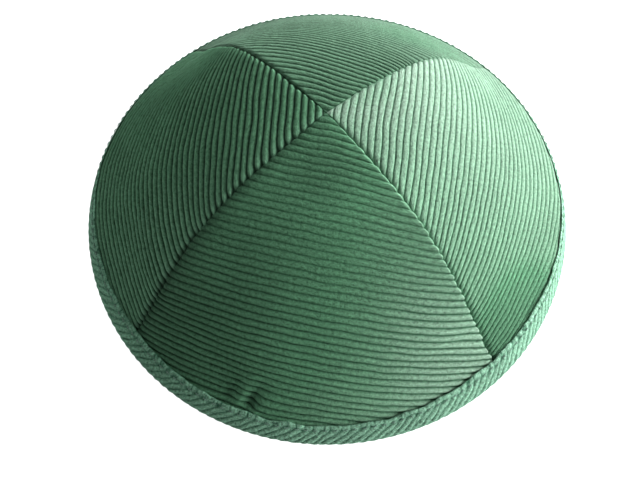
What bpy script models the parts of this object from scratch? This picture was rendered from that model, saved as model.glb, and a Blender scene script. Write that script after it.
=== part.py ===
"""A corduroy kippah, in metres, resting on its rim with +Z up.

Four ribbed gores meet at the apex, and a bias binding is folded over their lower edges. The
crown is a shell worked out around one middle surface: a profile down the middle of a gore,
carried round the crown, with level sections that are square near the apex and round at the rim.
"""

import math
from collections import namedtuple

import bmesh
import bpy
import numpy as np

# Driving sizes
RIM_RADIUS = 0.084
CROWN_HEIGHT = 0.0500
APEX_SHIFT = 0.0007
CLOTH_WALL = 0.0020
WALE_PITCH = 0.00212
WALE_RELIEF = 0.0006
SEAM_ROUNDING = 0.0016
SEAM_DIP = 0.0005
BINDING_WIDTH = 0.0060
BINDING_CLOTH = 0.0011

# Clearances
SEAM_GAP = 0.0003
BINDING_GAP = 0.0003

# How much lower a wale hangs at the seams than at its middle, as a share of the way down
WALE_SAG = 0.32
# A wale that comes this near to the binding ends under it, as a share of the pitch
WALE_END_SHARE = 0.35

# way: share of the way from apex to rim down the middle of a gore
# slope_deg: how steeply the cloth falls there
# squareness: 1 where a level section is a square with its corners on the seams, 0 where it is round
CrownSection = namedtuple("CrownSection", "way slope_deg squareness")
CROWN_SECTIONS = (
    CrownSection(0.0, 4, 0.75),
    CrownSection(0.2, 13, 0.68),
    CrownSection(0.4, 26, 0.48),
    CrownSection(0.6, 33, 0.20),
    CrownSection(0.8, 40, 0.02),
    CrownSection(1.0, 45, 0.0),
)

# across: -1 at the gore's left seam, 1 at its right seam, seen from outside with the apex up
# way: as above. half_across and half_way: half of the dent's size, in the same shares
# depth: share of the crown's height, negative for a soft fold that stands out
Dent = namedtuple("Dent", "gore across way half_across half_way depth")
DENTS = (
    Dent("panel_front", -0.68, 0.66, 0.20, 0.22, 0.020),
    Dent("panel_front", -0.42, 0.88, 0.13, 0.09, 0.028),
    Dent("panel_right", -0.60, 0.88, 0.24, 0.09, 0.020),
    Dent("panel_left", 0.30, 0.66, 0.22, 0.26, -0.018),
)
# How abruptly a dent ends above the binding
DENT_FADE = 20

# turn_deg: where the middle of the gore faces, from +X towards +Y
Gore = namedtuple("Gore", "name turn_deg colour")
GORES = (
    Gore("panel_front", -90, (0.075, 0.205, 0.125)),
    Gore("panel_right", 0, (0.085, 0.225, 0.140)),
    Gore("panel_back", 90, (0.075, 0.205, 0.125)),
    Gore("panel_left", 180, (0.065, 0.180, 0.110)),
)
BINDING_COLOUR = (0.095, 0.260, 0.180)
CLOTH_ROUGHNESS = 0.92

# How finely the surfaces are divided
PROFILE_STEPS = 400
GORE_FACETS = 10
INNER_ROWS = 9
LEG_ROWS = 3
FOLD_FACETS = 5
REST_FACET_DEG = 45
SMOOTH_ANGLE_DEG = 65
WELD_DISTANCE = 1e-6

# Sizes that follow from the driving sizes
HALF_WALL = CLOTH_WALL / 2
HALF_GORE = math.radians(180 / len(GORES))
HALF_REST_FACET = math.radians(REST_FACET_DEG / 2)
FOLD_RADIUS = HALF_WALL + BINDING_GAP + BINDING_CLOTH
FOLD_CENTRE_RADIUS = RIM_RADIUS - FOLD_RADIUS
FOLD_CENTRE_HEIGHT = FOLD_RADIUS * math.cos(HALF_REST_FACET)


def clear_scene():
    for old in list(bpy.data.objects):
        bpy.data.objects.remove(old)


def make_profile():
    """The middle surface down the middle of a gore: way, radius, height, slope and squareness.

    The slopes are summed along the way, and the sum is stretched to end on the fold's centre.
    """
    way = np.linspace(0, 1, PROFILE_STEPS + 1)
    table_way = [section.way for section in CROWN_SECTIONS]
    slope = np.radians(np.interp(way, table_way, [s.slope_deg for s in CROWN_SECTIONS]))
    squareness = np.interp(way, table_way, [s.squareness for s in CROWN_SECTIONS])
    middle = (slope[1:] + slope[:-1]) / 2
    out = np.concatenate([[0], np.cumsum(np.cos(middle))])
    down = np.concatenate([[0], np.cumsum(np.sin(middle))])
    apex_height = CROWN_HEIGHT - HALF_WALL
    radius = out * FOLD_CENTRE_RADIUS / out[-1]
    height = apex_height - down * (apex_height - FOLD_CENTRE_HEIGHT) / down[-1]
    slope = np.arctan2(-np.gradient(height), np.gradient(radius))
    return way, radius, height, slope, squareness


WAY, RADIUS, HEIGHT, SLOPE, SQUARENESS = make_profile()
RIM_SLOPE = float(SLOPE[-1])
ARC_LENGTH = float(np.sum(np.hypot(np.diff(RADIUS), np.diff(HEIGHT))))
COVERED_WAY = 1 - BINDING_WIDTH / ARC_LENGTH
PITCH_WAY = WALE_PITCH / ARC_LENGTH


def crown_points(ways, azimuths, offsets):
    """Rows of (across, outward, up) on the shell, azimuths measured from the gore's middle.

    An offset is the distance outside the middle surface, along its normal in the upright plane
    through the crown's axis. The normal stands upright at the apex.
    """
    radius = np.interp(ways, WAY, RADIUS)
    radius = radius * np.cos(azimuths) ** -np.interp(ways, WAY, SQUARENESS)
    slope = np.interp(ways, WAY, SLOPE)
    lean = np.sin(slope) * radius**2 / (radius**2 + CLOTH_WALL**2)
    radius = radius + offsets * lean
    up = np.interp(ways, WAY, HEIGHT) + offsets * np.cos(slope)
    return np.stack([radius * np.sin(azimuths), radius * np.cos(azimuths), up], axis=-1)


def dent_depths(gore, ways, azimuths):
    """How far the shell is pressed in, fading out at the seams and at the binding."""
    across = azimuths / HALF_GORE
    depth = np.zeros_like(across)
    for dent in DENTS:
        if dent.gore == gore.name:
            spread = ((across - dent.across) / dent.half_across) ** 2
            spread = spread + ((ways - dent.way) / dent.half_way) ** 2
            depth += dent.depth * CROWN_HEIGHT * np.exp(-spread)
    fade = 1 - np.minimum(ways / COVERED_WAY, 1) ** DENT_FADE
    return depth * (1 - across**2) * fade


def gore_points(gore, ways, azimuths, offsets):
    """Points of one gore, moved off the seams' planes by half of the seam gap."""
    points = crown_points(ways, azimuths, offsets - dent_depths(gore, ways, azimuths))
    share = azimuths / HALF_GORE
    points[:, 0] -= SEAM_GAP / 2 * share * np.cos(azimuths)
    points[:, 1] += SEAM_GAP / 2 * share * np.sin(azimuths)
    return points


def row_azimuths(way):
    """Azimuths of a row's points: even facets, split by a narrow one along each seam."""
    facet = 2 * HALF_GORE / GORE_FACETS
    radius = max(float(np.interp(way, WAY, RADIUS)), WALE_PITCH)
    seam = min(SEAM_ROUNDING / radius, facet / 2)
    even = facet * np.arange(1, GORE_FACETS) - HALF_GORE
    return np.concatenate([[-HALF_GORE, seam - HALF_GORE], even, [HALF_GORE - seam, HALF_GORE]])


def wale_ways(down, azimuths):
    """Where a wale that crosses the gore's middle at share down of the way lies at each azimuth."""
    ways = down * (1 + WALE_SAG * (azimuths / HALF_GORE) ** 2 * down**2)
    return np.where(ways > COVERED_WAY - WALE_END_SHARE * PITCH_WAY, COVERED_WAY, ways)


def placed(point, turn):
    """From a gore's (across, outward, up) to the world, leaning back with height."""
    across, outward, up = point
    lean = APEX_SHIFT * (up - FOLD_CENTRE_HEIGHT) / (CROWN_HEIGHT - FOLD_CENTRE_HEIGHT)
    return (
        outward * math.cos(turn) - across * math.sin(turn),
        outward * math.sin(turn) + across * math.cos(turn) + lean,
        up,
    )


def new_object(name, shape, colour):
    """The finished bmesh as an object with its own cloth material."""
    bmesh.ops.recalc_face_normals(shape, faces=shape.faces)
    mesh = bpy.data.meshes.new(name)
    shape.to_mesh(mesh)
    shape.free()
    mesh.shade_smooth()
    mesh.set_sharp_from_angle(angle=math.radians(SMOOTH_ANGLE_DEG))
    material = bpy.data.materials.new(name + "_corduroy")
    material.use_nodes = True
    finish = material.node_tree.nodes["Principled BSDF"]
    finish.inputs["Base Color"].default_value = (*colour, 1)
    finish.inputs["Roughness"].default_value = CLOTH_ROUGHNESS
    finish.inputs["Metallic"].default_value = 0
    mesh.materials.append(material)
    made = bpy.data.objects.new(name, mesh)
    bpy.context.scene.collection.objects.link(made)
    return made


def add_strips(shape, rows):
    """Quads between neighbouring rows of as many vertices."""
    for upper, lower in zip(rows, rows[1:]):
        for i in range(len(upper) - 1):
            shape.faces.new((upper[i], lower[i], lower[i + 1], upper[i + 1]))


def make_gore(gore):
    """One gore: ribbed outside with a row on each crest and groove, plain inside, flat at the seams."""
    shape = bmesh.new()
    turn = math.radians(gore.turn_deg)

    def vertices(points):
        return [shape.verts.new(placed(point, turn)) for point in points]

    def plain_row(way, offset):
        azimuths = row_azimuths(way)
        return vertices(gore_points(gore, np.full_like(azimuths, way), azimuths, offset))

    def wale_row(down, groove):
        """A row along a wale, turned in at the seams and level with the cloth under the binding."""
        azimuths = row_azimuths(down)
        ways = wale_ways(down, azimuths)
        offsets = np.where(ways < COVERED_WAY, HALF_WALL - groove, HALF_WALL)
        offsets[[0, -1]] -= SEAM_DIP
        return vertices(gore_points(gore, ways, azimuths, offsets))

    def tip(offset):
        point = crown_points(0, 0, offset) + np.array([0, SEAM_GAP / math.sqrt(2), 0])
        return vertices([point])[0]

    outer = []
    for half_pitch in range(1, int(2 * COVERED_WAY / PITCH_WAY) + 1):
        outer.append(wale_row(half_pitch * PITCH_WAY / 2, WALE_RELIEF * (half_pitch % 2)))
    outer += [plain_row(COVERED_WAY, HALF_WALL), plain_row(1, HALF_WALL)]
    inner_ways = np.linspace(0, COVERED_WAY, INNER_ROWS)[1:]
    inner = [plain_row(way, -HALF_WALL) for way in [*inner_ways, 1]]
    outer_tip, inner_tip = tip(HALF_WALL), tip(-HALF_WALL)

    for rows, point in ((outer, outer_tip), (inner, inner_tip)):
        for left, right in zip(rows[0], rows[0][1:]):
            shape.faces.new((point, left, right))
        add_strips(shape, rows)
    add_strips(shape, [outer[-1], inner[-1]])
    for end in (0, -1):
        down_outside = [outer_tip] + [row[end] for row in outer]
        up_inside = [row[end] for row in reversed(inner)] + [inner_tip]
        shape.faces.new(down_outside + up_inside)
    bmesh.ops.remove_doubles(shape, verts=shape.verts, dist=WELD_DISTANCE)
    return new_object(gore.name, shape, gore.colour)


def binding_section(azimuth):
    """The folded tape's closed section: down the outside, round the fold, up inside, and back."""
    channel = HALF_WALL + BINDING_GAP
    down_leg = np.linspace(COVERED_WAY, 1, LEG_ROWS)
    normal = math.pi / 2 - RIM_SLOPE
    to_rest = np.linspace(normal, HALF_REST_FACET - math.pi / 2, FOLD_FACETS + 1)[1:]
    past_rest = np.array([-math.pi / 2 - HALF_REST_FACET])
    round_edge = np.linspace(normal - math.pi, normal, FOLD_FACETS)[1:-1]

    def leg(ways, offset):
        return crown_points(ways, np.full_like(ways, azimuth), offset)

    def fold(radius, angles):
        """Round the gore's edge, the angles measured upwards from straight out."""
        reach = radius * np.cos(angles)
        steps = np.stack(
            [reach * math.sin(azimuth), reach * math.cos(azimuth), radius * np.sin(angles)], axis=-1
        )
        return crown_points(1, azimuth, 0) + steps

    return np.concatenate([
        leg(down_leg, FOLD_RADIUS),
        fold(FOLD_RADIUS, to_rest),
        fold(FOLD_RADIUS, past_rest),
        leg(down_leg[::-1], -FOLD_RADIUS),
        leg(down_leg[[0, -1]], -channel),
        fold(channel, round_edge),
        leg(down_leg[[-1, 0]], channel),
    ])


def make_binding():
    """The tape folded over the rim, a ring whose facets match the gores'."""
    shape = bmesh.new()
    rings = []
    for gore in GORES:
        turn = math.radians(gore.turn_deg)
        for azimuth in np.linspace(-HALF_GORE, HALF_GORE, GORE_FACETS + 1)[:-1]:
            ring = [shape.verts.new(placed(point, turn)) for point in binding_section(azimuth)]
            rings.append(ring + ring[:1])
    add_strips(shape, rings + rings[:1])
    return new_object("rim_binding", shape, BINDING_COLOUR)


clear_scene()
for each_gore in GORES:
    make_gore(each_gore)
make_binding()
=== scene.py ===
import math

import bpy
import numpy as np
from mathutils import Matrix


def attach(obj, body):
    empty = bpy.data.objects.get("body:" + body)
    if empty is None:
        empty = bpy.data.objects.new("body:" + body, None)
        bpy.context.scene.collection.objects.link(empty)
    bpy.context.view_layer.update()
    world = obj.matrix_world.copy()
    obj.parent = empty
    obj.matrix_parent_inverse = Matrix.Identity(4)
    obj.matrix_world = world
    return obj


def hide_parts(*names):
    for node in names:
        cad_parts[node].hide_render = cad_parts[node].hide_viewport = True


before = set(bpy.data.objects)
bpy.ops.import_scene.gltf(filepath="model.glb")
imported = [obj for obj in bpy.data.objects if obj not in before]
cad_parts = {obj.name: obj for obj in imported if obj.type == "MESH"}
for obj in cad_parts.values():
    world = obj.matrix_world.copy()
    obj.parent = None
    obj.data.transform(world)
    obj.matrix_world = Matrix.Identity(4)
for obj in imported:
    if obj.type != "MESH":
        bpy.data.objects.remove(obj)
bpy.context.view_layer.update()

print("frame loaded:", ", ".join(sorted(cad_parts)))


# The crown's own shape
# metres. Slopes run from the apex to the rim, down the middle of a gore, and squareness says how
# much a level section is a square with its corners on the seams
crown = {
    "rimRadius": 0.084,
    "height": 0.050,
    "backLean": 0.0007,
    "wall": 0.0020,
    "foldRadius": 0.0024,
    "foldTilt": 22.5,  # degrees, half the slope at the rim
    "way": [0.0, 0.2, 0.4, 0.6, 0.8, 1.0],
    "slopeDegrees": [4, 13, 26, 33, 40, 45],
    "squareness": [0.75, 0.68, 0.48, 0.20, 0.02, 0.0],
    "profileSteps": 400,
}
halfWall = crown["wall"] / 2
halfGore = math.pi / 4
foldHeight = crown["foldRadius"] * math.cos(math.radians(crown["foldTilt"]))


# Adds up cos and sin of the slope along the way, then stretches both sums so that the line runs
# from the apex to the centre of the binding's fold
def crownProfile():
    way = np.linspace(0, 1, crown["profileSteps"] + 1)
    slope = np.radians(np.interp(way, crown["way"], crown["slopeDegrees"]))
    square = np.interp(way, crown["way"], crown["squareness"])
    middle = (slope[1:] + slope[:-1]) / 2
    out = np.append(0, np.cumsum(np.cos(middle)))
    down = np.append(0, np.cumsum(np.sin(middle)))
    apex = crown["height"] - halfWall
    radius = out * (crown["rimRadius"] - crown["foldRadius"]) / out[-1]
    height = apex - down * (apex - foldHeight) / down[-1]
    slope = np.arctan2(-np.gradient(height), np.gradient(radius))
    arc = np.hypot(np.diff(radius), np.diff(height)).sum()
    return way, radius, height, slope, square, arc


wayTable, radiusTable, heightTable, slopeTable, squareTable, arcLength = crownProfile()


# Slope of the profile at a way down it, in radians
def slopeAt(way):
    return np.interp(way, wayTable, slopeTable)


# Radius of the level section at an azimuth from the gore's middle: radius over cos(azimuth)^square
def radiusAt(way, azimuth):
    local = np.interp(way, wayTable, radiusTable)
    return local * np.cos(azimuth) ** -np.interp(way, wayTable, squareTable)


# Point at way and azimuth, moved out along a direction that stands at the given angle above level.
# The level part of the move eases off near the axis
def crownPoint(way, azimuth, out, angle):
    radius = radiusAt(way, azimuth)
    radius = radius + out * np.cos(angle) * radius**2 / (radius**2 + crown["wall"] ** 2)
    return radius, np.interp(way, wayTable, heightTable) + out * np.sin(angle)


# From radius, azimuth about the gore's middle and height to the world, turned to face its side
# and leaned back a little with height
def worldPoints(radius, azimuth, height, turnDegrees):
    turned = azimuth + math.radians(turnDegrees)
    lean = crown["backLean"] * (height - foldHeight) / (crown["height"] - foldHeight)
    return np.stack([radius * np.cos(turned), radius * np.sin(turned) + lean, height], axis=-1)


# Compass azimuth in degrees, from -180 to 180
def compassDegrees(azimuth):
    return (np.degrees(azimuth) + 180) % 360 - 180


# The cloth swells out above the binding, least at the front. fullness: metres by compass azimuth
# from +X towards +Y; over the way down it grows to the binding's edge and is gone at the rim
swell = {
    "azimuth": [-180, -165, -150, -138, -50, -32, -15, 0, 45, 90, 135, 180],
    "fullness": [0.0024, 0.0017, 0.0006, 0.0, 0.0, 0.0006, 0.0018, 0.0026, 0.0018, 0.0012, 0.0015, 0.0024],
    "way": [0.66, 0.74, 0.80, 0.85, 0.90, 0.925, 0.94, 1.0],
    "share": [0.0, 0.07, 0.24, 0.50, 0.86, 1.0, 0.97, 0.0],
}


# How far the cloth stands out at a way and a compass azimuth: fullness there times the way's share
def swellOut(way, azimuth):
    fullness = np.interp(compassDegrees(azimuth), swell["azimuth"], swell["fullness"])
    return fullness * np.interp(way, swell["way"], swell["share"])


# Smoothly from 0 at low to 1 at high
def rise(value, low, high):
    share = np.clip((value - low) / (high - low), 0, 1)
    return share * share * (3 - 2 * share)


# sines summed for each noise, how much their lengths vary, and the divisor that brings the sum to
# about -1 to 1
noise = {"waves": 7, "stretch": (0.7, 1.5), "roundWaves": 6, "roundStretch": (0.6, 1.5), "slant": 0.8,
         "divisor": 1.4}


# Sum of sines over two coordinates with the given wavelengths, seeded, between about -1 and 1
def softNoise(u, v, waveU, waveV, seed):
    rng = np.random.default_rng(seed)
    total = np.zeros(np.broadcast(u, v).shape)
    for _ in range(noise["waves"]):
        turn = rng.uniform(0, 2 * np.pi)
        stretch = rng.uniform(*noise["stretch"])
        total += np.sin(
            2 * np.pi * stretch * (u * math.cos(turn) / waveU + v * math.sin(turn) / waveV)
            + rng.uniform(0, 2 * np.pi)
        )
    return total / math.sqrt(noise["waves"]) / noise["divisor"]


# The same round the whole rim: a whole number of waves, about the given count, so that it closes
def roundNoise(azimuth, v, turns, waveV, seed):
    rng = np.random.default_rng(seed)
    total = np.zeros(np.broadcast(azimuth, v).shape)
    for _ in range(noise["roundWaves"]):
        count = round(turns * rng.uniform(*noise["roundStretch"]))
        across = rng.uniform(-noise["slant"], noise["slant"]) / waveV
        total += np.sin(count * azimuth + 2 * np.pi * across * v + rng.uniform(0, 2 * np.pi))
    return total / math.sqrt(noise["roundWaves"]) / noise["divisor"]


# Meshes
# Quads and end polygons over the points become a mesh, turned over if its volume comes out negative
def outwardMesh(name, points, quads, caps):
    mesh = bpy.data.meshes.new(name)
    mesh.from_pydata(points.tolist(), [], quads.tolist() + caps)
    mesh.update()
    a, b, c, d = (points[quads[:, k]] for k in range(4))
    if (a * np.cross(b, c)).sum() + (a * np.cross(c, d)).sum() < 0:
        mesh.flip_normals()
    return mesh


# Rings of points along a path become a closed tube: quads between neighbouring rings, and each
# end closed by the given polygons, or joined round to the first ring
def tubeMesh(name, points, capColumns=None):
    rings, around = points.shape[:2]
    index = np.arange(rings * around).reshape(rings, around)
    nextRound = np.roll(index, -1, axis=1)
    if capColumns is None:
        following = np.roll(index, -1, axis=0)
        quads = np.stack([index, following, np.roll(following, -1, axis=1), nextRound], axis=-1)
        caps = []
    else:
        quads = np.stack([index[:-1], index[1:], nextRound[1:], nextRound[:-1]], axis=-1)
        caps = [[int(index[0, c]) for c in reversed(cap)] for cap in capColumns]
        caps += [[int(index[-1, c]) for c in cap] for cap in capColumns]
    quads = quads.reshape(-1, 4)
    return outwardMesh(name, points.reshape(-1, 3), quads, caps), len(quads)


# Puts one number per point into the mesh as a named attribute
def setAttribute(mesh, name, values):
    layer = mesh.attributes.new(name, "FLOAT", "POINT")
    layer.data.foreach_set("value", np.asarray(values, np.float32).ravel())


# Puts one pair per point into the mesh as a UV map, in metres along and across the cloth
def setUv(mesh, name, uv):
    loops = np.empty(len(mesh.loops), np.int32)
    mesh.loops.foreach_get("vertex_index", loops)
    layer = mesh.uv_layers.new(name=name)
    layer.data.foreach_set("uv", uv.reshape(-1, 2)[loops].astype(np.float32).ravel())


# Puts a mesh, a light or a camera into the scene
def addObject(name, data):
    made = bpy.data.objects.new(name, data)
    bpy.context.scene.collection.objects.link(made)
    return made


# A mesh with its materials becomes a piece that rides the root body and stands for the given solids
def addPiece(mesh, name, materials, nodes):
    for material in materials:
        mesh.materials.append(material)
    mesh.shade_smooth()
    piece = addObject(name, mesh)
    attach(piece, "root")
    if nodes:
        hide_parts(*nodes)
    return piece


# Materials
# A new material with nodes: itself, its tree and its shader
def newMaterial(name):
    material = bpy.data.materials.new(name)
    material.use_nodes = True
    tree = material.node_tree
    return material, tree, tree.nodes["Principled BSDF"]


# A node of the given kind, with its settings
def addNode(tree, kind, **values):
    node = tree.nodes.new(kind)
    for name, value in values.items():
        setattr(node, name, value)
    return node


# Sets a node's inputs, each to a value or from a socket; a colour is given as three numbers
def feed(node, values):
    for key, value in values.items():
        socket = node.inputs[key]
        if isinstance(value, bpy.types.NodeSocket):
            node.id_data.links.new(value, socket)
        else:
            socket.default_value = (*value, 1) if socket.type == "RGBA" else value


# One sum, such as MULTIPLY, on two numbers or sockets
def mathNode(tree, operation, first, second, clamp=False):
    node = addNode(tree, "ShaderNodeMath", operation=operation, use_clamp=clamp)
    feed(node, {0: first, 1: second})
    return node.outputs[0]


# Noise between 0 and 1 over a place on the cloth, in features per metre
def noiseNode(tree, vector, scale, detail, roughness):
    node = addNode(tree, "ShaderNodeTexNoise", noise_dimensions="3D")
    feed(node, {"Vector": vector, "Scale": scale, "Detail": detail, "Roughness": roughness})
    return node.outputs["Fac"]


# A blend of two colours or sockets by a factor
def mixColour(tree, factor, first, second, blend="MIX"):
    node = addNode(tree, "ShaderNodeMix", data_type="RGBA", blend_type=blend)
    feed(node, {0: factor, 6: first, 7: second})  # factor, A and B
    return node.outputs[2]


# A bump of a strength and a depth in metres on a shader
def addBump(tree, shader, height, strength, depth):
    bump = addNode(tree, "ShaderNodeBump")
    feed(bump, {"Height": height, "Strength": strength, "Distance": depth})
    feed(shader, {"Normal": bump.outputs["Normal"]})


# Cut pile: flecks stretched along the wale, fine fuzz, a darker colour down in the grooves, partly the
# bared backing and partly painted shade, and painted light: a paler colour, painted sheen, where the pile
# faces the lamps, and painted shade where it faces away. fleck, fuzz and patch are each the scale,
# detail and roughness of a noise
pile = {
    "fleck": (1250.0, 2.5, 0.6),
    "fleckStretch": 0.85,
    "fuzz": (2900.0, 2.0, 0.6),
    "patch": (55.0, 3.0, 0.5),
    "spread": {"fleck": 3.6, "fuzz": 3.4, "patch": 0.9},  # how strongly each one shades
    "grooveFuzz": 0.12,
    "heightFuzz": 0.6,
    "heightFleck": 0.7,
    "bumpDepth": 0.0003,
    "roughness": 0.86,
    "roughnessSpread": 0.16,
    "specular": 0.15,
    "sheenRoughness": 0.45,
}


# Colour = groove or crest colour, mixed towards Bloom Colour, a painted sheen, where Bloom is above 0,
# times shade; shade = 1 + fleck amount x noises, times 1 + Bloom where Bloom is below 0, painted shade
def makePileGroup():
    group = bpy.data.node_groups.new("cutPile", "ShaderNodeTree")
    for inOut, kind, names in (
        ("INPUT", "Vector", ("Cloth Place",)),
        ("INPUT", "Color", ("Crest Colour", "Groove Colour", "Bloom Colour")),
        ("INPUT", "Float", ("Groove", "Bloom", "Fleck")),
        ("OUTPUT", "Color", ("Colour",)),
        ("OUTPUT", "Float", ("Roughness", "Height")),
    ):
        for name in names:
            group.interface.new_socket(name, in_out=inOut, socket_type="NodeSocket" + kind)
    given = group.nodes.new("NodeGroupInput").outputs
    result = group.nodes.new("NodeGroupOutput")
    stretched = addNode(group, "ShaderNodeMapping")
    feed(stretched, {"Vector": given["Cloth Place"], "Scale": (pile["fleckStretch"], 1, 1)})
    fleck = noiseNode(group, stretched.outputs[0], *pile["fleck"])
    fuzz = noiseNode(group, given["Cloth Place"], *pile["fuzz"])
    patch = noiseNode(group, given["Cloth Place"], *pile["patch"])
    # flecks, fuzz and patches around 1, by the fleck amount
    fleckPart, fuzzPart, patchPart = (
        mathNode(group, "MULTIPLY", mathNode(group, "SUBTRACT", made, 0.5), pile["spread"][name])
        for name, made in (("fleck", fleck), ("fuzz", fuzz), ("patch", patch))
    )
    spread = mathNode(group, "ADD", mathNode(group, "ADD", fleckPart, fuzzPart), patchPart)
    shade = mathNode(group, "ADD", mathNode(group, "MULTIPLY", spread, given["Fleck"]), 1.0)
    ragged = mathNode(group, "MULTIPLY", fuzzPart, pile["grooveFuzz"])
    depth = mathNode(group, "ADD", given["Groove"], ragged, clamp=True)
    # Bloom is painted light: above 0 it mixes in the painted sheen colour, below 0 it darkens as painted
    # shade
    pale = mathNode(group, "MAXIMUM", given["Bloom"], 0.0)
    dark = mathNode(group, "ADD", mathNode(group, "MINIMUM", given["Bloom"], 0.0), 1.0)
    shade = mathNode(group, "MULTIPLY", shade, dark)
    crest = mixColour(group, pale, given["Crest Colour"], given["Bloom Colour"])
    base = mixColour(group, depth, crest, given["Groove Colour"])
    grey = addNode(group, "ShaderNodeCombineColor")
    feed(grey, {0: shade, 1: shade, 2: shade})
    feed(result, {"Colour": mixColour(group, 1.0, base, grey.outputs[0], "MULTIPLY")})
    rough = mathNode(group, "MULTIPLY", mathNode(group, "SUBTRACT", fuzz, 0.5), pile["roughnessSpread"])
    feed(result, {"Roughness": mathNode(group, "ADD", rough, pile["roughness"], clamp=True)})
    fuzzHeight = mathNode(group, "MULTIPLY", fuzz, pile["heightFuzz"])
    fleckHeight = mathNode(group, "MULTIPLY", fleck, pile["heightFleck"])
    feed(result, {"Height": mathNode(group, "ADD", fuzzHeight, fleckHeight)})
    return group


pileGroup = makePileGroup()


# A pile cloth: the group's colour, roughness and bump, and a soft sheen set on the shader
def pileMaterial(name, look):
    material, tree, shader = newMaterial(name)
    cloth = addNode(tree, "ShaderNodeGroup", node_tree=pileGroup)
    place = addNode(tree, "ShaderNodeUVMap", uv_map="cloth")
    groove = addNode(tree, "ShaderNodeAttribute", attribute_name="groove")
    # the painted light, painted sheen above 0 and painted shade below, read from the piece
    bloom = addNode(tree, "ShaderNodeAttribute", attribute_name="bloom")
    feed(cloth, {"Cloth Place": place.outputs[0], "Fleck": look["fleck"]})
    feed(cloth, {"Groove": groove.outputs["Fac"], "Bloom": bloom.outputs["Fac"]})
    feed(cloth, {f"{part} Colour": look[part.lower() + "Colour"] for part in ("Crest", "Groove", "Bloom")})
    feed(shader, {"Base Color": cloth.outputs["Colour"], "Roughness": cloth.outputs["Roughness"]})
    addBump(tree, shader, cloth.outputs["Height"], look["bump"], pile["bumpDepth"])
    feed(shader, {"Metallic": 0, "Specular IOR Level": pile["specular"], "Sheen Weight": look["sheen"]})
    feed(shader, {"Sheen Roughness": pile["sheenRoughness"], "Sheen Tint": look["sheenTint"]})
    return material


# The cloth's plain woven back
wovenBack = {
    "colour": (0.045, 0.120, 0.078),
    "shadow": (0.016, 0.048, 0.030),
    "yarnPitch": 0.00055,
    "yarnShade": 0.7,
    "fuzzShade": 0.5,
    "fuzz": (1500.0, 3.0, 0.6),
    "bump": 0.6,
    "bumpDepth": 0.00015,
    "roughness": 0.9,
    "specular": 0.2,
}


# Crossed sines for the yarns, and fine noise
def wovenMaterial():
    material, tree, shader = newMaterial("woven_back")
    place = addNode(tree, "ShaderNodeUVMap", uv_map="cloth")
    apart = addNode(tree, "ShaderNodeSeparateXYZ")
    feed(apart, {0: place.outputs[0]})
    turns = 2 * math.pi / wovenBack["yarnPitch"]
    warp, weft = (
        mathNode(tree, "SINE", mathNode(tree, "MULTIPLY", apart.outputs[k], turns), 0) for k in (0, 1)
    )
    crossed = mathNode(tree, "MULTIPLY", mathNode(tree, "MULTIPLY", warp, weft), 0.5)
    height = mathNode(tree, "ADD", crossed, 0.5)
    fuzz = noiseNode(tree, place.outputs[0], *wovenBack["fuzz"])
    yarns = mathNode(tree, "MULTIPLY", height, wovenBack["yarnShade"])
    shade = mathNode(tree, "ADD", yarns, mathNode(tree, "MULTIPLY", fuzz, wovenBack["fuzzShade"]), clamp=True)
    feed(shader, {"Base Color": mixColour(tree, shade, wovenBack["shadow"], wovenBack["colour"])})
    addBump(tree, shader, shade, wovenBack["bump"], wovenBack["bumpDepth"])
    feed(shader, {"Roughness": wovenBack["roughness"], "Specular IOR Level": wovenBack["specular"]})
    return material


backMaterial = wovenMaterial()
print("materials ready")


# The four gores
# metres, unless a note says otherwise. wander, jitter and ripple are in pitches, and their lengths
# run along and across the wales
cloth = {
    "pitch": 0.00212,  # from wale to wale
    "relief": 0.00062,  # how deep the grooves are
    "crestShare": 0.92,  # share of the pitch that the pile fills
    "crestLimit": 0.00008,  # most that a crest stands above the cloth
    "acrossWale": [-1.0, -0.9, -0.76, -0.48, 0.0, 0.48, 0.76, 0.9],
    "seamSteps": [0.0, 0.00020, 0.00048, 0.00082, 0.00125, 0.00175, 0.0024, 0.0032],
    "seamShare": 0.45,  # most of a half row that the seam's steps take
    "evenColumns": 156,
    "innerColumns": (0, 3, 7, 10, 11, 12),  # columns of the inside beside a seam, then every sixth
    "innerStep": 6,
    "allowance": (0.006, 0.0006),  # width and thickness of the turned-in cloth inside
    "allowanceSoft": 0.0004,
    "allowanceEnd": (0.03, 0.01),  # way before the binding over which it thins out
    "seamGap": 0.00002,
    "mostWales": 60,
    "hiddenWay": 0.962,  # rows past this way are drawn together under the binding
    "hiddenReach": 0.045,
    "lastWay": 0.988,
    "reliefEnd": (0.010, 0.020),  # way past the binding's edge over which the grooves end
    "firstRow": 0.012,  # wales from the apex
    "firstPile": (0.15, 0.8),  # wales from the apex over which the pile begins
    "calm": (0.5, 5.0),  # wales from the apex over which the waves begin
    "wander": 0.07,
    "wanderWaves": (0.034, 0.026),
    "jitter": 0.05,
    "jitterWaves": (0.011, 0.005),
    "ripple": 0.025,
    "rippleLength": 0.0024,
    "rippleTurn": 0.35,
    "unevenPile": 0.09,
    "unevenWaves": (0.0042, 0.0026),
    "endSpread": 0.00018,  # how much the wales' ends differ in length
    "bendReach": 0.0035,
    "lapReach": 0.0012,
    "grooveFade": 1.25,
    "seeds": (20, 40, 60),  # added for wander, jitter and the uneven pile
    "leastRadius": (0.00002, 0.00005, 0.0002),  # at the apex: of a row, of a section and for the gap
    "dentEnd": (0.925, 0.945),  # way over which the dents end
    # tipFade: how the painted light beside the seams fades away from them
    "tipFade": 1.5,
    # darkest: the deepest painted shade that the painted light may reach
    "darkest": -0.6,
    "fleckApart": 0.2,  # metres between the gores' places in the fleck pattern
    "crestColour": (0.095, 0.255, 0.138),
    # grooveColour: darker down in the grooves, partly the bared backing and partly painted shade
    "grooveColour": (0.036, 0.108, 0.058),
    "fleck": 0.46,
    "bump": 0.9,
    "sheen": 0.12,
    "sheenTint": (0.45, 0.9, 0.6),
}
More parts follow.
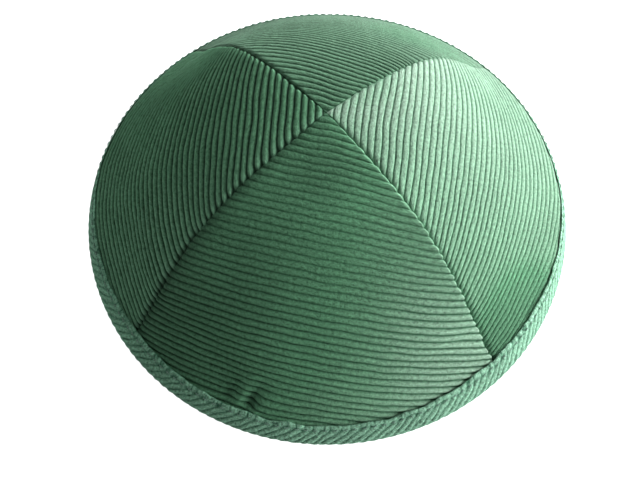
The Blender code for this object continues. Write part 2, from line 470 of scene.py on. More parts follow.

# lie of the wales: way = m (1 + spread a^2 + skew a + skewMore a^3 + spreadMore a^4), with a from
# -1 at the left seam to 1 at the right one, tabled over m, the way down the gore's middle.
# ends: dip of the cloth at the seam, width that it rounds over, length of the rounded wale ends,
# bend towards the rim (negative: towards the apex), lap over the neighbour, and tip: change of the
# painted light at the seam, a painted highlight above 0 and painted shade below, and its reach.
# round: power of the wale's section (2 a circle, more is flatter). bloom, the painted light: above 0
# a paler colour, painted sheen, below 0 a darker one, painted shade, as k + a across + w way + both
# across way. bloomColour: of the painted sheen. shade: painted light and shade, a brightness on all
# of the gore's colours for how it faces the lamps. grooves: share of the relief over lieWay, up to 1
# also how far the grooves take the darker groove colour, partly bare backing and partly painted
# shade. grooveShade: of the groove's colour, painted shade set per gore
lieWay = [0.05, 0.25, 0.45, 0.65, 0.85, 1.0]
gores = {
    "panel_front": {
        "turn": -90,
        "phase": 0.06,
        "spread": [0.13, 0.14, 0.16, 0.20, 0.19, 0.16],
        "skew": [0.06, 0.09, 0.09, 0.09, 0.10, 0.09],
        "skewMore": [0.16, 0.10, 0.06, 0.03, 0.01, 0.0],
        "spreadMore": [0.03, 0.04, 0.04, 0.04, 0.02, 0.0],
        "leftEnd": {"dip": 0.0007, "over": 0.0035, "finger": 0.0008, "bend": -0.0003, "lap": 0.0,
                    "tip": (-0.32, 0.0055)},
        "rightEnd": {"dip": 0.00005, "over": 0.0006, "finger": 0.0002, "bend": 0.0001, "lap": 0.0002,
                     "tip": (0.12, 0.0014)},
        "bloom": (-0.10, 0.02, 0.12, 0.42),
        "bloomColour": (0.360, 0.480, 0.395),
        "shade": 1.07,
        "grooves": [0.55, 0.58, 0.74, 1.02, 1.2, 1.2],
        "round": 2.0,
        "grooveShade": 1.0,
        "seed": 11,
    },
    "panel_right": {
        "turn": 0,
        "phase": 0.42,
        "spread": [0.11, 0.14, 0.18, 0.16, 0.11, 0.06],
        "skew": [0.03, 0.06, 0.08, 0.09, 0.09, 0.09],
        "skewMore": [0.02, 0.03, 0.03, 0.02, 0.0, -0.02],
        "spreadMore": [0.03, 0.02, 0.02, 0.03, 0.02, 0.0],
        "leftEnd": {"dip": 0.00075, "over": 0.0020, "finger": 0.0019, "bend": 0.0002, "lap": 0.0,
                    "tip": (-0.10, 0.0020)},
        "rightEnd": {"dip": 0.00015, "over": 0.0014, "finger": 0.0013, "bend": 0.0, "lap": 0.0004,
                     "tip": (0.06, 0.0020)},
        "bloom": (0.42, 0.13, -0.16, 0.10),
        "bloomColour": (0.400, 0.490, 0.425),
        "shade": 0.90,
        "grooves": [0.50, 0.56, 0.64, 0.72, 0.78, 0.78],
        "round": 2.6,
        "grooveShade": 1.9,
        "seed": 12,
    },
    "panel_back": {
        "turn": 90,
        "phase": -0.05,
        "spread": [0.21, 0.25, 0.29, 0.32, 0.30, 0.25],
        "skew": [0.36, 0.33, 0.35, 0.26, 0.15, 0.05],
        "skewMore": [-0.08, 0.10, 0.20, 0.14, 0.05, -0.02],
        "spreadMore": [-0.02, -0.04, -0.03, -0.01, 0.0, 0.0],
        "leftEnd": {"dip": 0.00060, "over": 0.0016, "finger": 0.0012, "bend": 0.0, "lap": 0.0,
                    "tip": (0.0, 0.0020)},
        "rightEnd": {"dip": 0.00030, "over": 0.0014, "finger": 0.0009, "bend": 0.0, "lap": 0.0,
                     "tip": (0.0, 0.0020)},
        "bloom": (0.03, 0.0, 0.24, 0.0),
        "bloomColour": (0.420, 0.500, 0.440),
        "shade": 0.62,
        "grooves": [0.60, 0.58, 0.56, 0.54, 0.52, 0.50],
        "round": 2.3,
        "grooveShade": 1.25,
        "seed": 13,
    },
    "panel_left": {
        "turn": 180,
        "phase": -0.02,
        "spread": [0.12, 0.17, 0.13, 0.06, 0.0, 0.0],
        "skew": [-0.03, -0.05, -0.03, 0.01, -0.01, -0.02],
        "skewMore": [-0.04, 0.0, 0.01, 0.06, 0.07, 0.06],
        "spreadMore": [-0.03, -0.03, -0.05, -0.01, 0.03, 0.03],
        "leftEnd": {"dip": 0.00035, "over": 0.0014, "finger": 0.0012, "bend": 0.0, "lap": 0.0,
                    "tip": (0.08, 0.0025)},
        "rightEnd": {"dip": 0.00005, "over": 0.0010, "finger": 0.0016, "bend": -0.0003, "lap": 0.0007,
                     "tip": (0.22, 0.0040)},
        "bloom": (0.0, 0.06, 0.03, 0.10),
        "bloomColour": (0.260, 0.500, 0.340),
        "shade": 1.04,
        "grooves": [0.9, 1.15, 1.45, 1.65, 1.6, 1.5],
        "round": 1.8,
        "grooveShade": 0.35,
        "seed": 14,
    },
}

# gore, place across (-1 left seam, 1 right seam), way, half sizes of both, slant (across per way)
# and depth in metres
dents = [
    ("panel_front", -0.68, 0.66, 0.20, 0.22, 0.0, 0.0010),
    ("panel_front", -0.45, 0.88, 0.13, 0.09, 0.0, 0.0008),
    ("panel_front", -0.27, 0.905, 0.034, 0.055, -0.53, 0.0014),
    ("panel_front", -0.385, 0.900, 0.030, 0.050, -0.40, 0.0007),
    ("panel_front", -0.33, 0.915, 0.026, 0.035, -0.45, -0.0005),
    ("panel_right", -0.62, 0.86, 0.20, 0.10, 0.0, 0.0009),
    ("panel_left", 0.30, 0.66, 0.22, 0.26, 0.0, -0.0009),
]
# places with painted light added, a painted sheen above 0 or painted shade below: gore, across, way,
# half sizes, amount
paintedLightPatches = [
    ("panel_front", 0.05, 0.15, 0.70, 0.12, -0.22),
    ("panel_front", 0.72, 0.80, 0.30, 0.26, 0.15),
    ("panel_front", 0.05, 0.92, 0.45, 0.10, 0.05),
    ("panel_front", -0.275, 0.915, 0.035, 0.050, -0.30),
    ("panel_front", -0.400, 0.905, 0.025, 0.035, -0.15),
    ("panel_front", -0.330, 0.930, 0.030, 0.025, 0.07),
    ("panel_front", -0.52, 0.925, 0.10, 0.030, 0.06),
    ("panel_right", -0.75, 0.95, 0.33, 0.20, -0.32),
    ("panel_right", 0.75, 0.72, 0.40, 0.28, -0.10),
    ("panel_right", 0.95, 0.12, 0.50, 0.12, -0.16),
    ("panel_back", -0.65, 0.72, 0.40, 0.22, -0.14),
    ("panel_left", 0.75, 0.62, 0.30, 0.30, 0.05),
]
# places where the grooves are deeper and, up to a share of 1, darker, partly painted shade, or below 0
# shallower and lighter: gore, across, way, half sizes, share
deeper = [
    ("panel_front", -0.75, 0.84, 0.55, 0.24, 0.50),
    ("panel_front", 0.25, 0.50, 0.50, 0.20, -0.12),
]
# the gather on the front gore: the wales step towards the rim, by this many pitches, between
# two places across, and come back slowly; around is the way and half width that it acts over
gather = {"gore": "panel_front", "step": 0.72, "across": (-0.33, -0.22, 0.15), "around": (0.915, 0.045)}


# How deep the cloth is pressed in: a slanting bell over way and across for each dent, none at the
# seams or under the binding
def dentDepth(name, way, across):
    depth = np.zeros(across.shape)
    for gore, midAcross, midWay, halfAcross, halfWay, slant, deep in dents:
        if gore == name:
            aside = across - midAcross - slant * (way - midWay)
            depth += deep * np.exp(-((aside / halfAcross) ** 2) - ((way - midWay) / halfWay) ** 2)
    return depth * (1 - across**2) * (1 - rise(way, *cloth["dentEnd"]))


# Squared distance from a place, in its half sizes
def fromPlace(way, across, midAcross, midWay, halfAcross, halfWay):
    return ((across - midAcross) / halfAcross) ** 2 + ((way - midWay) / halfWay) ** 2


# How deep the grooves are, and up to 1 how far they take the groove colour, partly bare backing and
# partly painted shade: the gore's table over the way, and a bell for each deeper place
def grooveShare(name, gore, way, across):
    share = np.interp(way, lieWay, gore["grooves"])
    for other, *place, more in deeper:
        if other == name:
            share = share + more * np.exp(-fromPlace(way, across, *place))
    return share


# Painted light on the pile, a paler painted sheen above 0 and painted shade below: the gore's own
# plane over across and way, flat-topped bells for the painted patches, and a change by the seams
def paintedLightAndShade(name, gore, way, across, nearLeft, nearRight):
    k, a, w, both = gore["bloom"]
    bloom = k + a * across + w * way + both * across * way
    for other, *place, amount in paintedLightPatches:
        if other == name:
            bloom = bloom + amount * np.exp(-(fromPlace(way, across, *place) ** 2))
    for distance, end in ((nearLeft, gore["leftEnd"]), (nearRight, gore["rightEnd"])):
        amount, reach = end["tip"]
        bloom = bloom + amount * near(distance, reach) ** cloth["tipFade"]
    return np.clip(bloom, cloth["darkest"], 1)


# 1 at the seam, down to 0 at the given distance from it
def near(distance, reach):
    return 1 - np.clip(distance / reach, 0, 1)


# The way that a wale lies at, by the gore's table, for the way m down the middle and the place
# across
def waleWay(gore, m, across):
    spread, skew, skewMore, spreadMore = (
        np.interp(m, lieWay, gore[key]) for key in ("spread", "skew", "skewMore", "spreadMore")
    )
    return m * (1 + spread * across**2 + skew * across + skewMore * across**3 + spreadMore * across**4)


# A gore's outside over rows (wales from the apex) and columns (azimuth), in steps:
# way from the lie of the wales, bent by slow waves, ripple, jitter and the turned ends;
# pile height = sqrt(1 - |x / crestShare|^round - nearness^2), with x across the wale and nearness
# to the seam over the finger's length, so that each wale ends in a round fingertip;
# outside = half wall - dip at the seams - relief (1 - pile height) - dents + swell
def goreSurface(name, gore, covered):
    pitchWay = cloth["pitch"] / arcLength
    x = np.array(cloth["acrossWale"])
    number = np.arange(-1, cloth["mostWales"])
    wales = (gore["phase"] + number[:, None] + x[None, :] / 2).ravel()
    xRow = np.tile(x, len(number))
    seamWay = np.minimum(*(waleWay(gore, wales * pitchWay, side) for side in (-1, 1)))
    keep = (wales > 2 * cloth["firstRow"]) & (np.minimum(seamWay, wales * pitchWay) < cloth["lastWay"])
    wales, xRow = np.append(cloth["firstRow"], wales[keep]), np.append(-1, xRow[keep])
    middle = wales * pitchWay

    leastRow, leastSection, _ = cloth["leastRadius"]
    radius = np.maximum(np.interp(middle, wayTable, radiusTable), leastRow)
    steps = np.array(cloth["seamSteps"])
    shrink = np.minimum(1, cloth["seamShare"] * radius * halfGore / steps[-1])
    edge = steps[None, :] * shrink[:, None] / radius[:, None]
    evenShare = np.linspace(-1, 1, cloth["evenColumns"] + 2)[None, 1:-1]
    inside = evenShare * (halfGore - edge[:, -1:])
    azimuth = np.hstack([edge - halfGore, inside, halfGore - edge[:, ::-1]])
    across = azimuth / halfGore
    m = middle[:, None]
    s = wales[:, None] + np.zeros(across.shape)

    way = waleWay(gore, m, across)
    place = across * radius[:, None] * halfGore  # metres from the gore's middle
    calm = rise(s, *cloth["calm"])
    rng = np.random.default_rng(gore["seed"])
    wanderSeed, jitterSeed, unevenSeed = (gore["seed"] + added for added in cloth["seeds"])
    waveTurns = np.interp(wales, number, rng.uniform(0, 2 * np.pi, len(number)).cumsum())
    waveTurns = waveTurns * cloth["rippleTurn"]
    acrossCloth = s * cloth["pitch"]  # metres from the apex, across the wales
    drift = cloth["wander"] * softNoise(place, acrossCloth, *cloth["wanderWaves"], wanderSeed)
    drift += cloth["ripple"] * np.sin(place / cloth["rippleLength"] + waveTurns[:, None])
    drift += cloth["jitter"] * softNoise(place, acrossCloth, *cloth["jitterWaves"], jitterSeed)
    if gather["gore"] == name:
        start, stop, back = gather["across"]
        middleWay, halfWay = gather["around"]
        window = np.exp(-(((way - middleWay) / halfWay) ** 2))
        drift += gather["step"] * window * (rise(across, start, stop) - rise(across, stop, back))
    way = way + drift * calm * pitchWay

    endLength = np.interp(wales, number, rng.normal(0, cloth["endSpread"], len(number)))[:, None]
    section = np.maximum(radiusAt(np.minimum(way, 1), azimuth), leastSection)
    nearLeft = (azimuth + halfGore) * section
    nearRight = (halfGore - azimuth) * section
    dip = np.zeros(across.shape)
    finger = np.zeros(across.shape)
    lap = np.zeros(across.shape)
    size = shrink[:, None]
    for distance, end, side in ((nearLeft, gore["leftEnd"], -1), (nearRight, gore["rightEnd"], 1)):
        rounding = near(distance, end["over"] * size)
        dip += end["dip"] * size * (1 - np.sqrt(1 - rounding**2))
        finger = np.maximum(finger, near(distance + endLength * size, end["finger"] * size))
        way = way + end["bend"] / arcLength * near(distance, cloth["bendReach"]) ** 2 * calm
        lap += side * end["lap"] * near(distance, cloth["lapReach"]) * calm
    # rows that would run on past the binding are drawn together under it
    over = np.maximum(way - cloth["hiddenWay"], 0)
    reach = cloth["hiddenReach"]
    way = np.minimum(way, cloth["hiddenWay"]) + over * reach / (over + reach)

    fill = np.abs(xRow[:, None] / cloth["crestShare"]) ** gore["round"]
    pileHeight = np.sqrt(np.clip(1 - fill - finger**2, 0, 1)) * rise(s, *cloth["firstPile"])
    uneven = 1 + cloth["unevenPile"] * softNoise(place, acrossCloth, *cloth["unevenWaves"], unevenSeed)
    grooves = grooveShare(name, gore, way, across)
    reliefFrom, reliefTo = (covered + past for past in cloth["reliefEnd"])
    relief = cloth["relief"] * grooves * (1 - rise(way, reliefFrom, reliefTo))
    out = halfWall - dip - relief * (1 - pileHeight * uneven)
    out = np.minimum(out, halfWall + cloth["crestLimit"]) - dentDepth(name, way, across)
    out = out + swellOut(way, azimuth + math.radians(gore["turn"]))
    azimuth = azimuth + lap * np.clip(1 - fill, 0, 1) / section
    # painted light on the pile: a painted sheen where above 0, painted shade where below
    bloom = paintedLightAndShade(name, gore, way, across, nearLeft, nearRight)
    # share of the groove colour, in grooves and at wale ends: partly bare backing, partly painted shade
    groove = np.clip(fill + finger**3, 0, 1) ** cloth["grooveFade"] * np.minimum(grooves, 1)
    return way, azimuth, out, groove, bloom, acrossCloth, place, nearLeft, nearRight


# A gore as one closed tube of cloth: the surface above outside, and inside it a surface half a
# wall below the middle one, lower beside the seams by the turned-in allowance's thickness
def makeGore(name, gore, covered):
    surface = goreSurface(name, gore, covered)
    way, azimuth, out, groove, bloom, acrossCloth, place, nearLeft, nearRight = surface
    angle = math.pi / 2 - slopeAt(way)
    columns = way.shape[1]
    # inside: fewer columns, each under one of the outside
    beside, step = cloth["innerColumns"], cloth["innerStep"]
    first = beside[-1] + step
    evenly = range(first, columns - first + 1, step)
    under = sorted({*beside, *evenly, *(columns - 1 - column for column in beside)})
    under = np.array(under)[::-1]
    azimuthIn = np.clip(azimuth[:, under], -halfGore, halfGore)
    width, thick = cloth["allowance"]
    seamNear = np.minimum(nearLeft, nearRight)[:, under]
    soft = cloth["allowanceSoft"]
    band = 1 - rise(seamNear, width - soft, width + soft)
    bandFrom, bandTo = (covered - before for before in cloth["allowanceEnd"])
    band = band * (1 - rise(way[:, under], bandFrom, bandTo))
    innerOut = -halfWall - thick * band - dentDepth(name, way[:, under], azimuthIn / halfGore)
    innerOut = innerOut + swellOut(way[:, under], azimuthIn + math.radians(gore["turn"]))

    radiusOut, heightOut = crownPoint(way, azimuth, out, angle)
    radiusIn, heightIn = crownPoint(way[:, under], azimuthIn, innerOut, angle[:, under])
    ringRadius = np.hstack([radiusOut, radiusIn])
    ringHeight = np.hstack([heightOut, heightIn])
    ringAzimuth = np.hstack([azimuth, azimuthIn])
    # off the seams' planes by half the gap
    share = ringAzimuth / halfGore
    shifted = ringAzimuth - cloth["seamGap"] / 2 * share / np.maximum(ringRadius, cloth["leastRadius"][2])
    points = worldPoints(ringRadius, shifted, ringHeight, gore["turn"])

    # each end is closed by a strip of polygons, one between every two columns of the inside
    capColumns = []
    for k in range(len(under) - 1):
        outer = list(range(int(under[k + 1]), int(under[k]) + 1))
        capColumns.append(outer[::-1] + [columns + k + 1, columns + k])
    mesh, quadCount = tubeMesh(name + "_cloth", points, capColumns)
    setAttribute(mesh, "groove", np.hstack([groove, np.ones(innerOut.shape)]))
    setAttribute(mesh, "bloom", np.hstack([bloom, np.zeros(innerOut.shape)]))
    along = np.hstack([place, place[:, under]])
    ringAcross = np.hstack([acrossCloth, acrossCloth[:, under]]) + gore["seed"] * cloth["fleckApart"]
    setUv(mesh, "cloth", np.stack([along, ringAcross], axis=-1))
    materialIndex = np.zeros(len(mesh.polygons), np.int32)
    grid = np.zeros((way.shape[0] - 1, points.shape[1]), np.int32)
    grid[:, columns:-1] = 1
    materialIndex[:quadCount] = grid.ravel()
    mesh.polygons.foreach_set("material_index", materialIndex)
    look = dict(cloth)
    look["bloomColour"] = gore["bloomColour"]
    # each gore's colours times its shade, painted light and shade for how it faces the lamps; the groove
    # colour also times grooveShade, painted shade in its grooves set per gore
    for key in ("crestColour", "grooveColour", "bloomColour"):
        shade = gore["shade"] * (gore["grooveShade"] if key == "grooveColour" else 1)
        look[key] = tuple(c * shade for c in look[key])
    materials = [pileMaterial(name + "_pile", look), backMaterial]
    piece = addPiece(mesh, name + "_cloth", materials, [name])
    return piece


# The binding
# metres. width and flat by compass azimuth, from +X towards +Y; flat is how far the tape is pressed
# flat towards its inner edge, over swell's azimuths. Ridges run slantwise: lean is metres along the
# rim for each metre across, less inside the stitch line, where they stand up into puckers. Each row
# of waves: amount, waves round the rim, wavelength across, and what is added to the seed
binding = {
    "azimuth": [-180, -135, -110, -90, -70, -45, 0, 45, 90, 135, 180],
    "width": [0.0064, 0.0066, 0.0056, 0.0050, 0.0052, 0.0064, 0.0062, 0.0060, 0.0060, 0.0060, 0.0064],
    "nominalWidth": 0.0060,
    "cutWidth": 0.0195,
    "tape": 0.0011,  # thickness
    "edgeRound": 0.00063,
    "edgeSteps": 8,
    "legSteps": 20,
    "foldSteps": 19,
    "channelShare": 0.6,  # share of the leg that the hollow between the legs starts at
    "edgeWaves": ((0.00030, 38, 1.0, 1), (0.00012, 150, 1.0, 5)),
    "flat": [0.82, 0.74, 0.55, 0.45, 0.45, 0.48, 0.60, 0.74, 0.82, 0.84, 0.84, 0.82],
    "ridges": 176,
    "lean": 1.25,
    "innerLean": 0.25,
    "bow": 0.0004,
    "ridgeShare": 0.94,
    "round": 2.3,
    "ridgeWaves": ((0.15, 24, 0.015, 0), (0.10, 88, 0.006, 2)),
    "puckerWaves": (0.30, 130, 0.004, 4),
    "puckerTurn": 0.0006,  # distance from the stitch line over which puckers become ridges
    "puckerLost": 0.15,
    "legTurns": (0.1, 1.6),  # radians below which the outer leg lies, and above which the inner one
    "unevenWaves": (0.16, 120, 0.003, 3),
    "relief": 0.00054,
    "reliefLost": (1.35, 1.3),  # share left = first - second x flat
    "shown": (-0.0011, -0.0003),  # distance across over which the ridges begin
    "under": (0.0105, 0.0125, 0.6),  # distance over which they fade under the fold, and by how much
    "stitchLine": 0.0018,
    "stitchDip": 0.00030,
    "stitchWidth": 0.00050,
    "stitchShade": 0.35,
    "hold": 0.65,
    "holdWaves": (0.35, 176, 0.01, 6),
    "floorGap": 0.00003,
    "columnsPerRidge": 8,
    "crestColour": (0.108, 0.340, 0.190),
    # grooveColour: between the ridges, partly the bared backing and partly painted shade
    "grooveColour": (0.032, 0.118, 0.066),
    # bloomColour, bloom, paintedLightSwing and paintedLightTurn: painted light on the tape, a painted sheen
    # that is palest on the side of the rim towards the lamps and least on the far side
    "bloomColour": (0.370, 0.550, 0.440),
    "bloom": 0.30,
    "paintedLightSwing": 0.15,
    "paintedLightTurn": 0.6,
    "fleckSlant": 0.6,
    "fleckApart": 3,
    "fleck": 0.75,
    "bump": 0.9,
    "sheen": 0.12,
    "sheenTint": (0.6, 0.9, 0.8),
    "seed": 31,
}


# Azimuth from the middle of the gore that it falls in
def fromGoreMiddle(azimuth):
    return (azimuth + halfGore) % (2 * halfGore) - halfGore


# One row of the binding's waves, round the rim and across the tape
def tapeNoise(azimuth, acrossTape, row):
    amount, turns, waveAcross, addedSeed = row
    return amount * roundNoise(azimuth, acrossTape, turns, waveAcross, binding["seed"] + addedSeed)


# Width of the visible leg at a compass azimuth
def bindingWidth(azimuth):
    return np.interp(compassDegrees(azimuth), binding["azimuth"], binding["width"])


# The tape's section, all round: share of the leg (0 at the tape's edge, 1 at the rim), distance
# outside the cloth's middle, turn about the fold's centre, and distance across the tape
def bindingSection():
    fold, tape, edge = crown["foldRadius"], binding["tape"], binding["edgeRound"]
    mid = fold - edge
    nominal = binding["nominalWidth"]
    edgeTurn = np.radians(np.linspace(-90, 90, binding["edgeSteps"]))
    legShare = np.linspace(edge / nominal, 1, binding["legSteps"])[1:]
    foldTurn = np.radians(np.linspace(0, 180, binding["foldSteps"]))[1:]
    rows = []
    for t in edgeTurn:
        inward, upward = edge * (1 - math.cos(t)), edge * math.sin(t)
        rows.append((inward / nominal, mid + upward, 0, upward - edge))
    for share in legShare:
        rows.append((share, fold, 0, share * nominal - edge))
    for t in foldTurn:
        rows.append((1, fold, t, nominal - edge + fold * t))
    last = nominal - edge + fold * math.pi
    for share in legShare[::-1][2::2]:
        rows.append((share, fold, math.pi, last + (1 - share) * nominal))
    for t in edgeTurn[::-1][1::2]:
        inward, upward = edge * (1 - math.cos(t)), edge * math.sin(t)
        rows.append((inward / nominal, mid + upward, math.pi, last + nominal))
    channel = fold - tape
    rows.append((binding["channelShare"], channel, math.pi, 0))
    for t in np.radians(np.linspace(180, 0, 5)):
        rows.append((1, channel, t, 0))
    rows.append((binding["channelShare"], channel, 0, 0))
    return np.array(rows).T


# Slanting ridges round the tape: phase = place along + lean times place across, and ridge height =
# sqrt(1 - |x / ridgeShare|^round). Along the stitch line the tape dips, by a bell across it. What
# would go below the floor is flattened on it
def bindingSurface():
    share, offset, turn, acrossTape = bindingSection()
    count = binding["ridges"] * binding["columnsPerRidge"]
    azimuth = np.linspace(-math.pi, math.pi, count, endpoint=False)[:, None]
    columns = (share, offset, turn, acrossTape)
    share, offset, turn, acrossTape = (column[None, :] + 0 * azimuth for column in columns)
    rimLength = 2 * math.pi * crown["rimRadius"]
    along = azimuth / (2 * math.pi) * rimLength
    spacing = rimLength / binding["ridges"]
    legWidth = bindingWidth(azimuth)
    for row in binding["edgeWaves"]:
        legWidth = legWidth + tapeNoise(azimuth, 0 * azimuth, row)
    way = 1 - legWidth * (1 - share) / arcLength

    beyond = acrossTape - binding["stitchLine"] + binding["edgeRound"]
    bow = 0.5 * (beyond + np.sqrt(beyond**2 + binding["bow"] ** 2))  # softened where it turns
    slant = binding["innerLean"] * beyond + (binding["lean"] - binding["innerLean"]) * bow
    phase = binding["ridges"] * azimuth / (2 * np.pi) + slant / spacing
    for row in binding["ridgeWaves"]:
        phase = phase + tapeNoise(azimuth, acrossTape, row)
    # 1 inside the stitch line, on the outer leg only
    pucker = binding["puckerTurn"]
    inner = rise(-beyond, -pucker, pucker) * (acrossTape < binding["nominalWidth"] / 2)
    phase = phase + inner * tapeNoise(azimuth, acrossTape, binding["puckerWaves"])
    x = 2 * (phase % 1) - 1
    ridge = np.sqrt(np.clip(1 - np.abs(x / binding["ridgeShare"]) ** binding["round"], 0, 1))
    uneven = 1 + tapeNoise(azimuth, acrossTape, binding["unevenWaves"])
    fadeFrom, fadeTo, fade = binding["under"]
    visible = rise(acrossTape, *binding["shown"]) * (1 - fade * rise(acrossTape, fadeFrom, fadeTo))
    stitch = np.exp(-((beyond / binding["stitchWidth"]) ** 2))
    hold = binding["hold"] + tapeNoise(azimuth, acrossTape, binding["holdWaves"])
    flat = np.interp(compassDegrees(azimuth), swell["azimuth"], binding["flat"])
    most, lost = binding["reliefLost"]
    relief = binding["relief"] * visible * (1 - binding["puckerLost"] * inner) * (most - lost * flat)
    outer = offset - relief * (1 - ridge * uneven) - binding["stitchDip"] * stitch * hold * visible
    outer = np.where(acrossTape != 0, outer, offset)
    # pressed flat towards its inner edge, and moved out with the cloth
    outerTurn, innerTurn = binding["legTurns"]
    flat = flat * (1 - share) * (turn < outerTurn)
    lip = crown["foldRadius"] - 2 * binding["edgeRound"]
    outer = np.where(outer > lip, lip + (outer - lip) * (1 - flat), outer)
    outer = outer + swellOut(way, azimuth) * np.where(turn > innerTurn, -1, 1) * (share < 1)
    angle = math.pi / 2 - slopeAt(np.where(turn > 0, 1.0, way)) - turn
    radius, height = crownPoint(way, fromGoreMiddle(azimuth), outer, angle)
    height = np.maximum(height, binding["floorGap"])
    # groove colour between the ridges, partly bare backing, partly painted shade; painted shade at stitches
    groove = np.clip(1 - ridge * visible + binding["stitchShade"] * stitch * visible, 0, 1)
    # painted sheen round the rim, palest on the side towards the lamps
    bloom = binding["bloom"] + binding["paintedLightSwing"] * np.cos(azimuth + binding["paintedLightTurn"]) + 0 * groove
    points = worldPoints(radius, azimuth, height, 0)
    # the cloth's place runs slantwise over the tape, and clear of the gores' places
    bias, apart = binding["fleckSlant"], binding["fleckApart"]
    uv = np.stack([along - acrossTape * bias, acrossTape + along * bias + apart], axis=-1)
    return points, groove, bloom, uv


# metres. reliefSunk and dipSunk: shares of the ridges' height and of the tape's dip that the
# stitches lie below the tape's outside
stitches = {
    "pitch": 0.0030,
    "length": 0.0021,
    "radius": 0.00019,
    "thinnest": 0.02,
    "droop": 0.00025,
    "reliefSunk": 0.55,
    "dipSunk": 0.6,
    "rings": 7,
    "sides": 6,
    "colour": (0.19, 0.36, 0.27),
    "dark": 0.45,
    "twistScale": 900.0,
    "twistDistortion": 1.5,
    "roughness": 0.6,
}


# Small lens-shaped stitches along the stitch line: each is a capsule whose radius goes with
# sqrt(1 - u^2) over its length u, bent down by u^2 at both ends
def stitchMesh():
    count = int(2 * math.pi * crown["rimRadius"] / stitches["pitch"])
    middle = np.linspace(-math.pi, math.pi, count, endpoint=False)[:, None, None]
    u = np.linspace(-1, 1, stitches["rings"])[None, :, None]
    v = np.linspace(0, 2 * np.pi, stitches["sides"], endpoint=False)[None, None, :]
    azimuth = middle + u * stitches["length"] / 2 / crown["rimRadius"]
    thick = stitches["radius"] * np.sqrt(np.maximum(1 - u**2, stitches["thinnest"]))
    width = bindingWidth(azimuth)
    across = thick * np.cos(v)
    share = binding["stitchLine"] / binding["nominalWidth"]
    way = 1 - width * (1 - share) / arcLength + across / arcLength
    sunk = binding["relief"] * stitches["reliefSunk"] + binding["stitchDip"] * stitches["dipSunk"]
    lift = crown["foldRadius"] - sunk
    out = lift - stitches["droop"] * u**2 + thick * np.sin(v) + swellOut(way, azimuth)
    radius, height = crownPoint(way, fromGoreMiddle(azimuth), out, math.pi / 2 - slopeAt(way))
    points = worldPoints(radius, azimuth + 0 * v, height, 0)
    rings, sides = stitches["rings"], stitches["sides"]
    index = np.arange(points[..., 0].size).reshape(count, rings, sides)
    around = np.roll(index, -1, axis=2)
    quads = np.stack([index[:, :-1], around[:, :-1], around[:, 1:], index[:, 1:]], axis=-1).reshape(-1, 4)
    caps = index[:, 0, ::-1].tolist() + index[:, -1, :].tolist()
    mesh = outwardMesh("binding_stitches", points.reshape(-1, 3), quads, caps)
    uv = np.stack([azimuth * crown["rimRadius"] + 0 * v, across + 0 * u + 0 * azimuth], axis=-1)
    setUv(mesh, "cloth", uv)
    return mesh


# Sewing thread: a slanting wave between two shades, for the twist
def threadMaterial():
    material, tree, shader = newMaterial("sewing_thread")
    place = addNode(tree, "ShaderNodeUVMap", uv_map="cloth")
    twist = addNode(tree, "ShaderNodeTexWave", bands_direction="DIAGONAL")
    feed(twist, {"Vector": place.outputs[0], "Scale": stitches["twistScale"]})
    feed(twist, {"Distortion": stitches["twistDistortion"]})
    dark = tuple(c * stitches["dark"] for c in stitches["colour"])
    colour = mixColour(tree, twist.outputs["Fac"], dark, stitches["colour"])
    feed(shader, {"Base Color": colour, "Roughness": stitches["roughness"]})
    return material


# way at the binding's edge
covered = 1 - binding["nominalWidth"] / arcLength
for name, gore in gores.items():
    made = makeGore(name, gore, covered)
    print(name, "made:", len(made.data.polygons), "faces")

bindingPoints, bindingGroove, bindingPaintedLight, bindingUv = bindingSurface()
bindingMesh, _ = tubeMesh("binding_tape", bindingPoints)
setAttribute(bindingMesh, "groove", bindingGroove)
setAttribute(bindingMesh, "bloom", bindingPaintedLight)
setUv(bindingMesh, "cloth", bindingUv)
tapeMaterial = pileMaterial("binding_pile", binding)
tapePiece = addPiece(bindingMesh, "binding_tape", [tapeMaterial], ["rim_binding"])
addPiece(stitchMesh(), "binding_stitches", [threadMaterial()], [])
print("binding made:", len(bindingMesh.polygons), "faces")


# Floor, lights and camera
# lights: azimuth from +X towards +Y and elevation in degrees, watts, and size in metres. distance
# is from the lights to the hat. floorWhite and backdrop are seen by the camera only
studio = {
    "floor": (0.90, 0.90, 0.90),
    "floorReach": 3.0,
    "floorRoughness": 0.9,
    "floorGlow": 0.34,
    "floorWhite": 0.66,
    "world": 0.07,
    "backdrop": 0.9,
    "distance": 0.9,
    "lights": {
        "backRight": (50, 12, 20.5, 0.45),
        "right": (-8, 12, 15.0, 0.60),
        "above": (90, 65, 2.0, 0.60),
        "leftFill": (180, 14, 1.2, 0.60),
    },
}


# A strength with more added where the camera sees it
def seenStrength(tree, strength, more):
    path = addNode(tree, "ShaderNodeLightPath")
    seen = mathNode(tree, "MULTIPLY", path.outputs["Is Camera Ray"], more)
    return mathNode(tree, "ADD", seen, strength)


# A plain pale sheet that glows a little, as on a light table, and shows white to the camera
def makeFloor():
    reach = studio["floorReach"]
    corners = [(-reach, -reach, 0), (reach, -reach, 0), (reach, reach, 0), (-reach, reach, 0)]
    mesh = bpy.data.meshes.new("floor")
    mesh.from_pydata(corners, [], [(0, 1, 2, 3)])
    material, tree, shader = newMaterial("floor_paper")
    feed(shader, {"Base Color": studio["floor"], "Roughness": studio["floorRoughness"]})
    glow = seenStrength(tree, studio["floorGlow"], studio["floorWhite"])
    feed(shader, {"Emission Color": (1, 1, 1), "Emission Strength": glow})
    mesh.materials.append(material)
    addObject("floor", mesh)


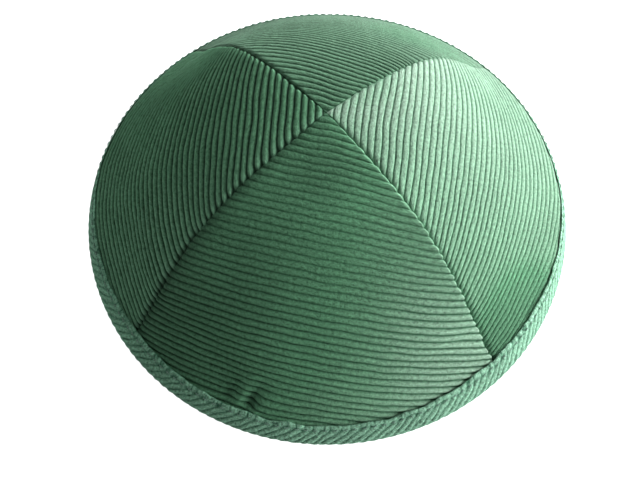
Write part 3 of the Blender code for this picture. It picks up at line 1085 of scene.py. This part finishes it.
# A soft round light that looks at the hat from an azimuth and an elevation
def makeLight(name, azimuth, elevation, power, size):
    data = bpy.data.lights.new(name, "AREA")
    data.energy = power
    data.shape = "DISK"
    data.size = size
    light = addObject(name, data)
    a, e = math.radians(azimuth), math.radians(elevation)
    where = np.array([math.cos(e) * math.cos(a), math.cos(e) * math.sin(a), math.sin(e)])
    light.location = (where * studio["distance"]).tolist()
    light.rotation_euler = (math.pi / 2 - e, 0, a + math.pi / 2)
    light.visible_camera = False


makeFloor()
for name, values in studio["lights"].items():
    makeLight(name, *values)
world = bpy.data.worlds.new("studio")
world.use_nodes = True
strength = seenStrength(world.node_tree, studio["world"], studio["backdrop"])
feed(world.node_tree.nodes["Background"], {"Color": (1, 1, 1), "Strength": strength})
bpy.context.scene.world = world
bpy.context.scene.view_settings.view_transform = "Standard"

# degrees and metres; the right and up shifts are along the picture's own axes
shot = {"azimuth": 6.27, "elevation": 66.26, "distance": 0.20309, "right": -0.00261, "up": -0.01503,
        "roll": 1.40, "focalPixels": 562.8, "pictureWidth": 640, "sensor": 36, "clipStart": 0.01}


# A camera that looks at the rim's centre from the given angles, shifted and rolled
def makeCamera():
    theta, e, roll = (math.radians(shot[k]) for k in ("azimuth", "elevation", "roll"))
    back = np.array([math.sin(theta) * math.cos(e), -math.cos(theta) * math.cos(e), math.sin(e)])
    right = np.array([math.cos(theta), math.sin(theta), 0])
    up = np.cross(back, right)
    where = back * shot["distance"] + right * shot["right"] + up * shot["up"]
    turnedRight = right * math.cos(roll) - up * math.sin(roll)
    turnedUp = right * math.sin(roll) + up * math.cos(roll)
    data = bpy.data.cameras.new("camera")
    data.sensor_width = shot["sensor"]
    data.lens = shot["focalPixels"] * data.sensor_width / shot["pictureWidth"]
    data.clip_start = shot["clipStart"]
    camera = addObject("camera", data)
    matrix = np.eye(4)
    matrix[:3, :3] = np.stack([turnedRight, turnedUp, back], axis=1)
    matrix[:3, 3] = where
    camera.matrix_world = Matrix(matrix.tolist())
    bpy.context.scene.camera = camera


makeCamera()
print("studio ready")
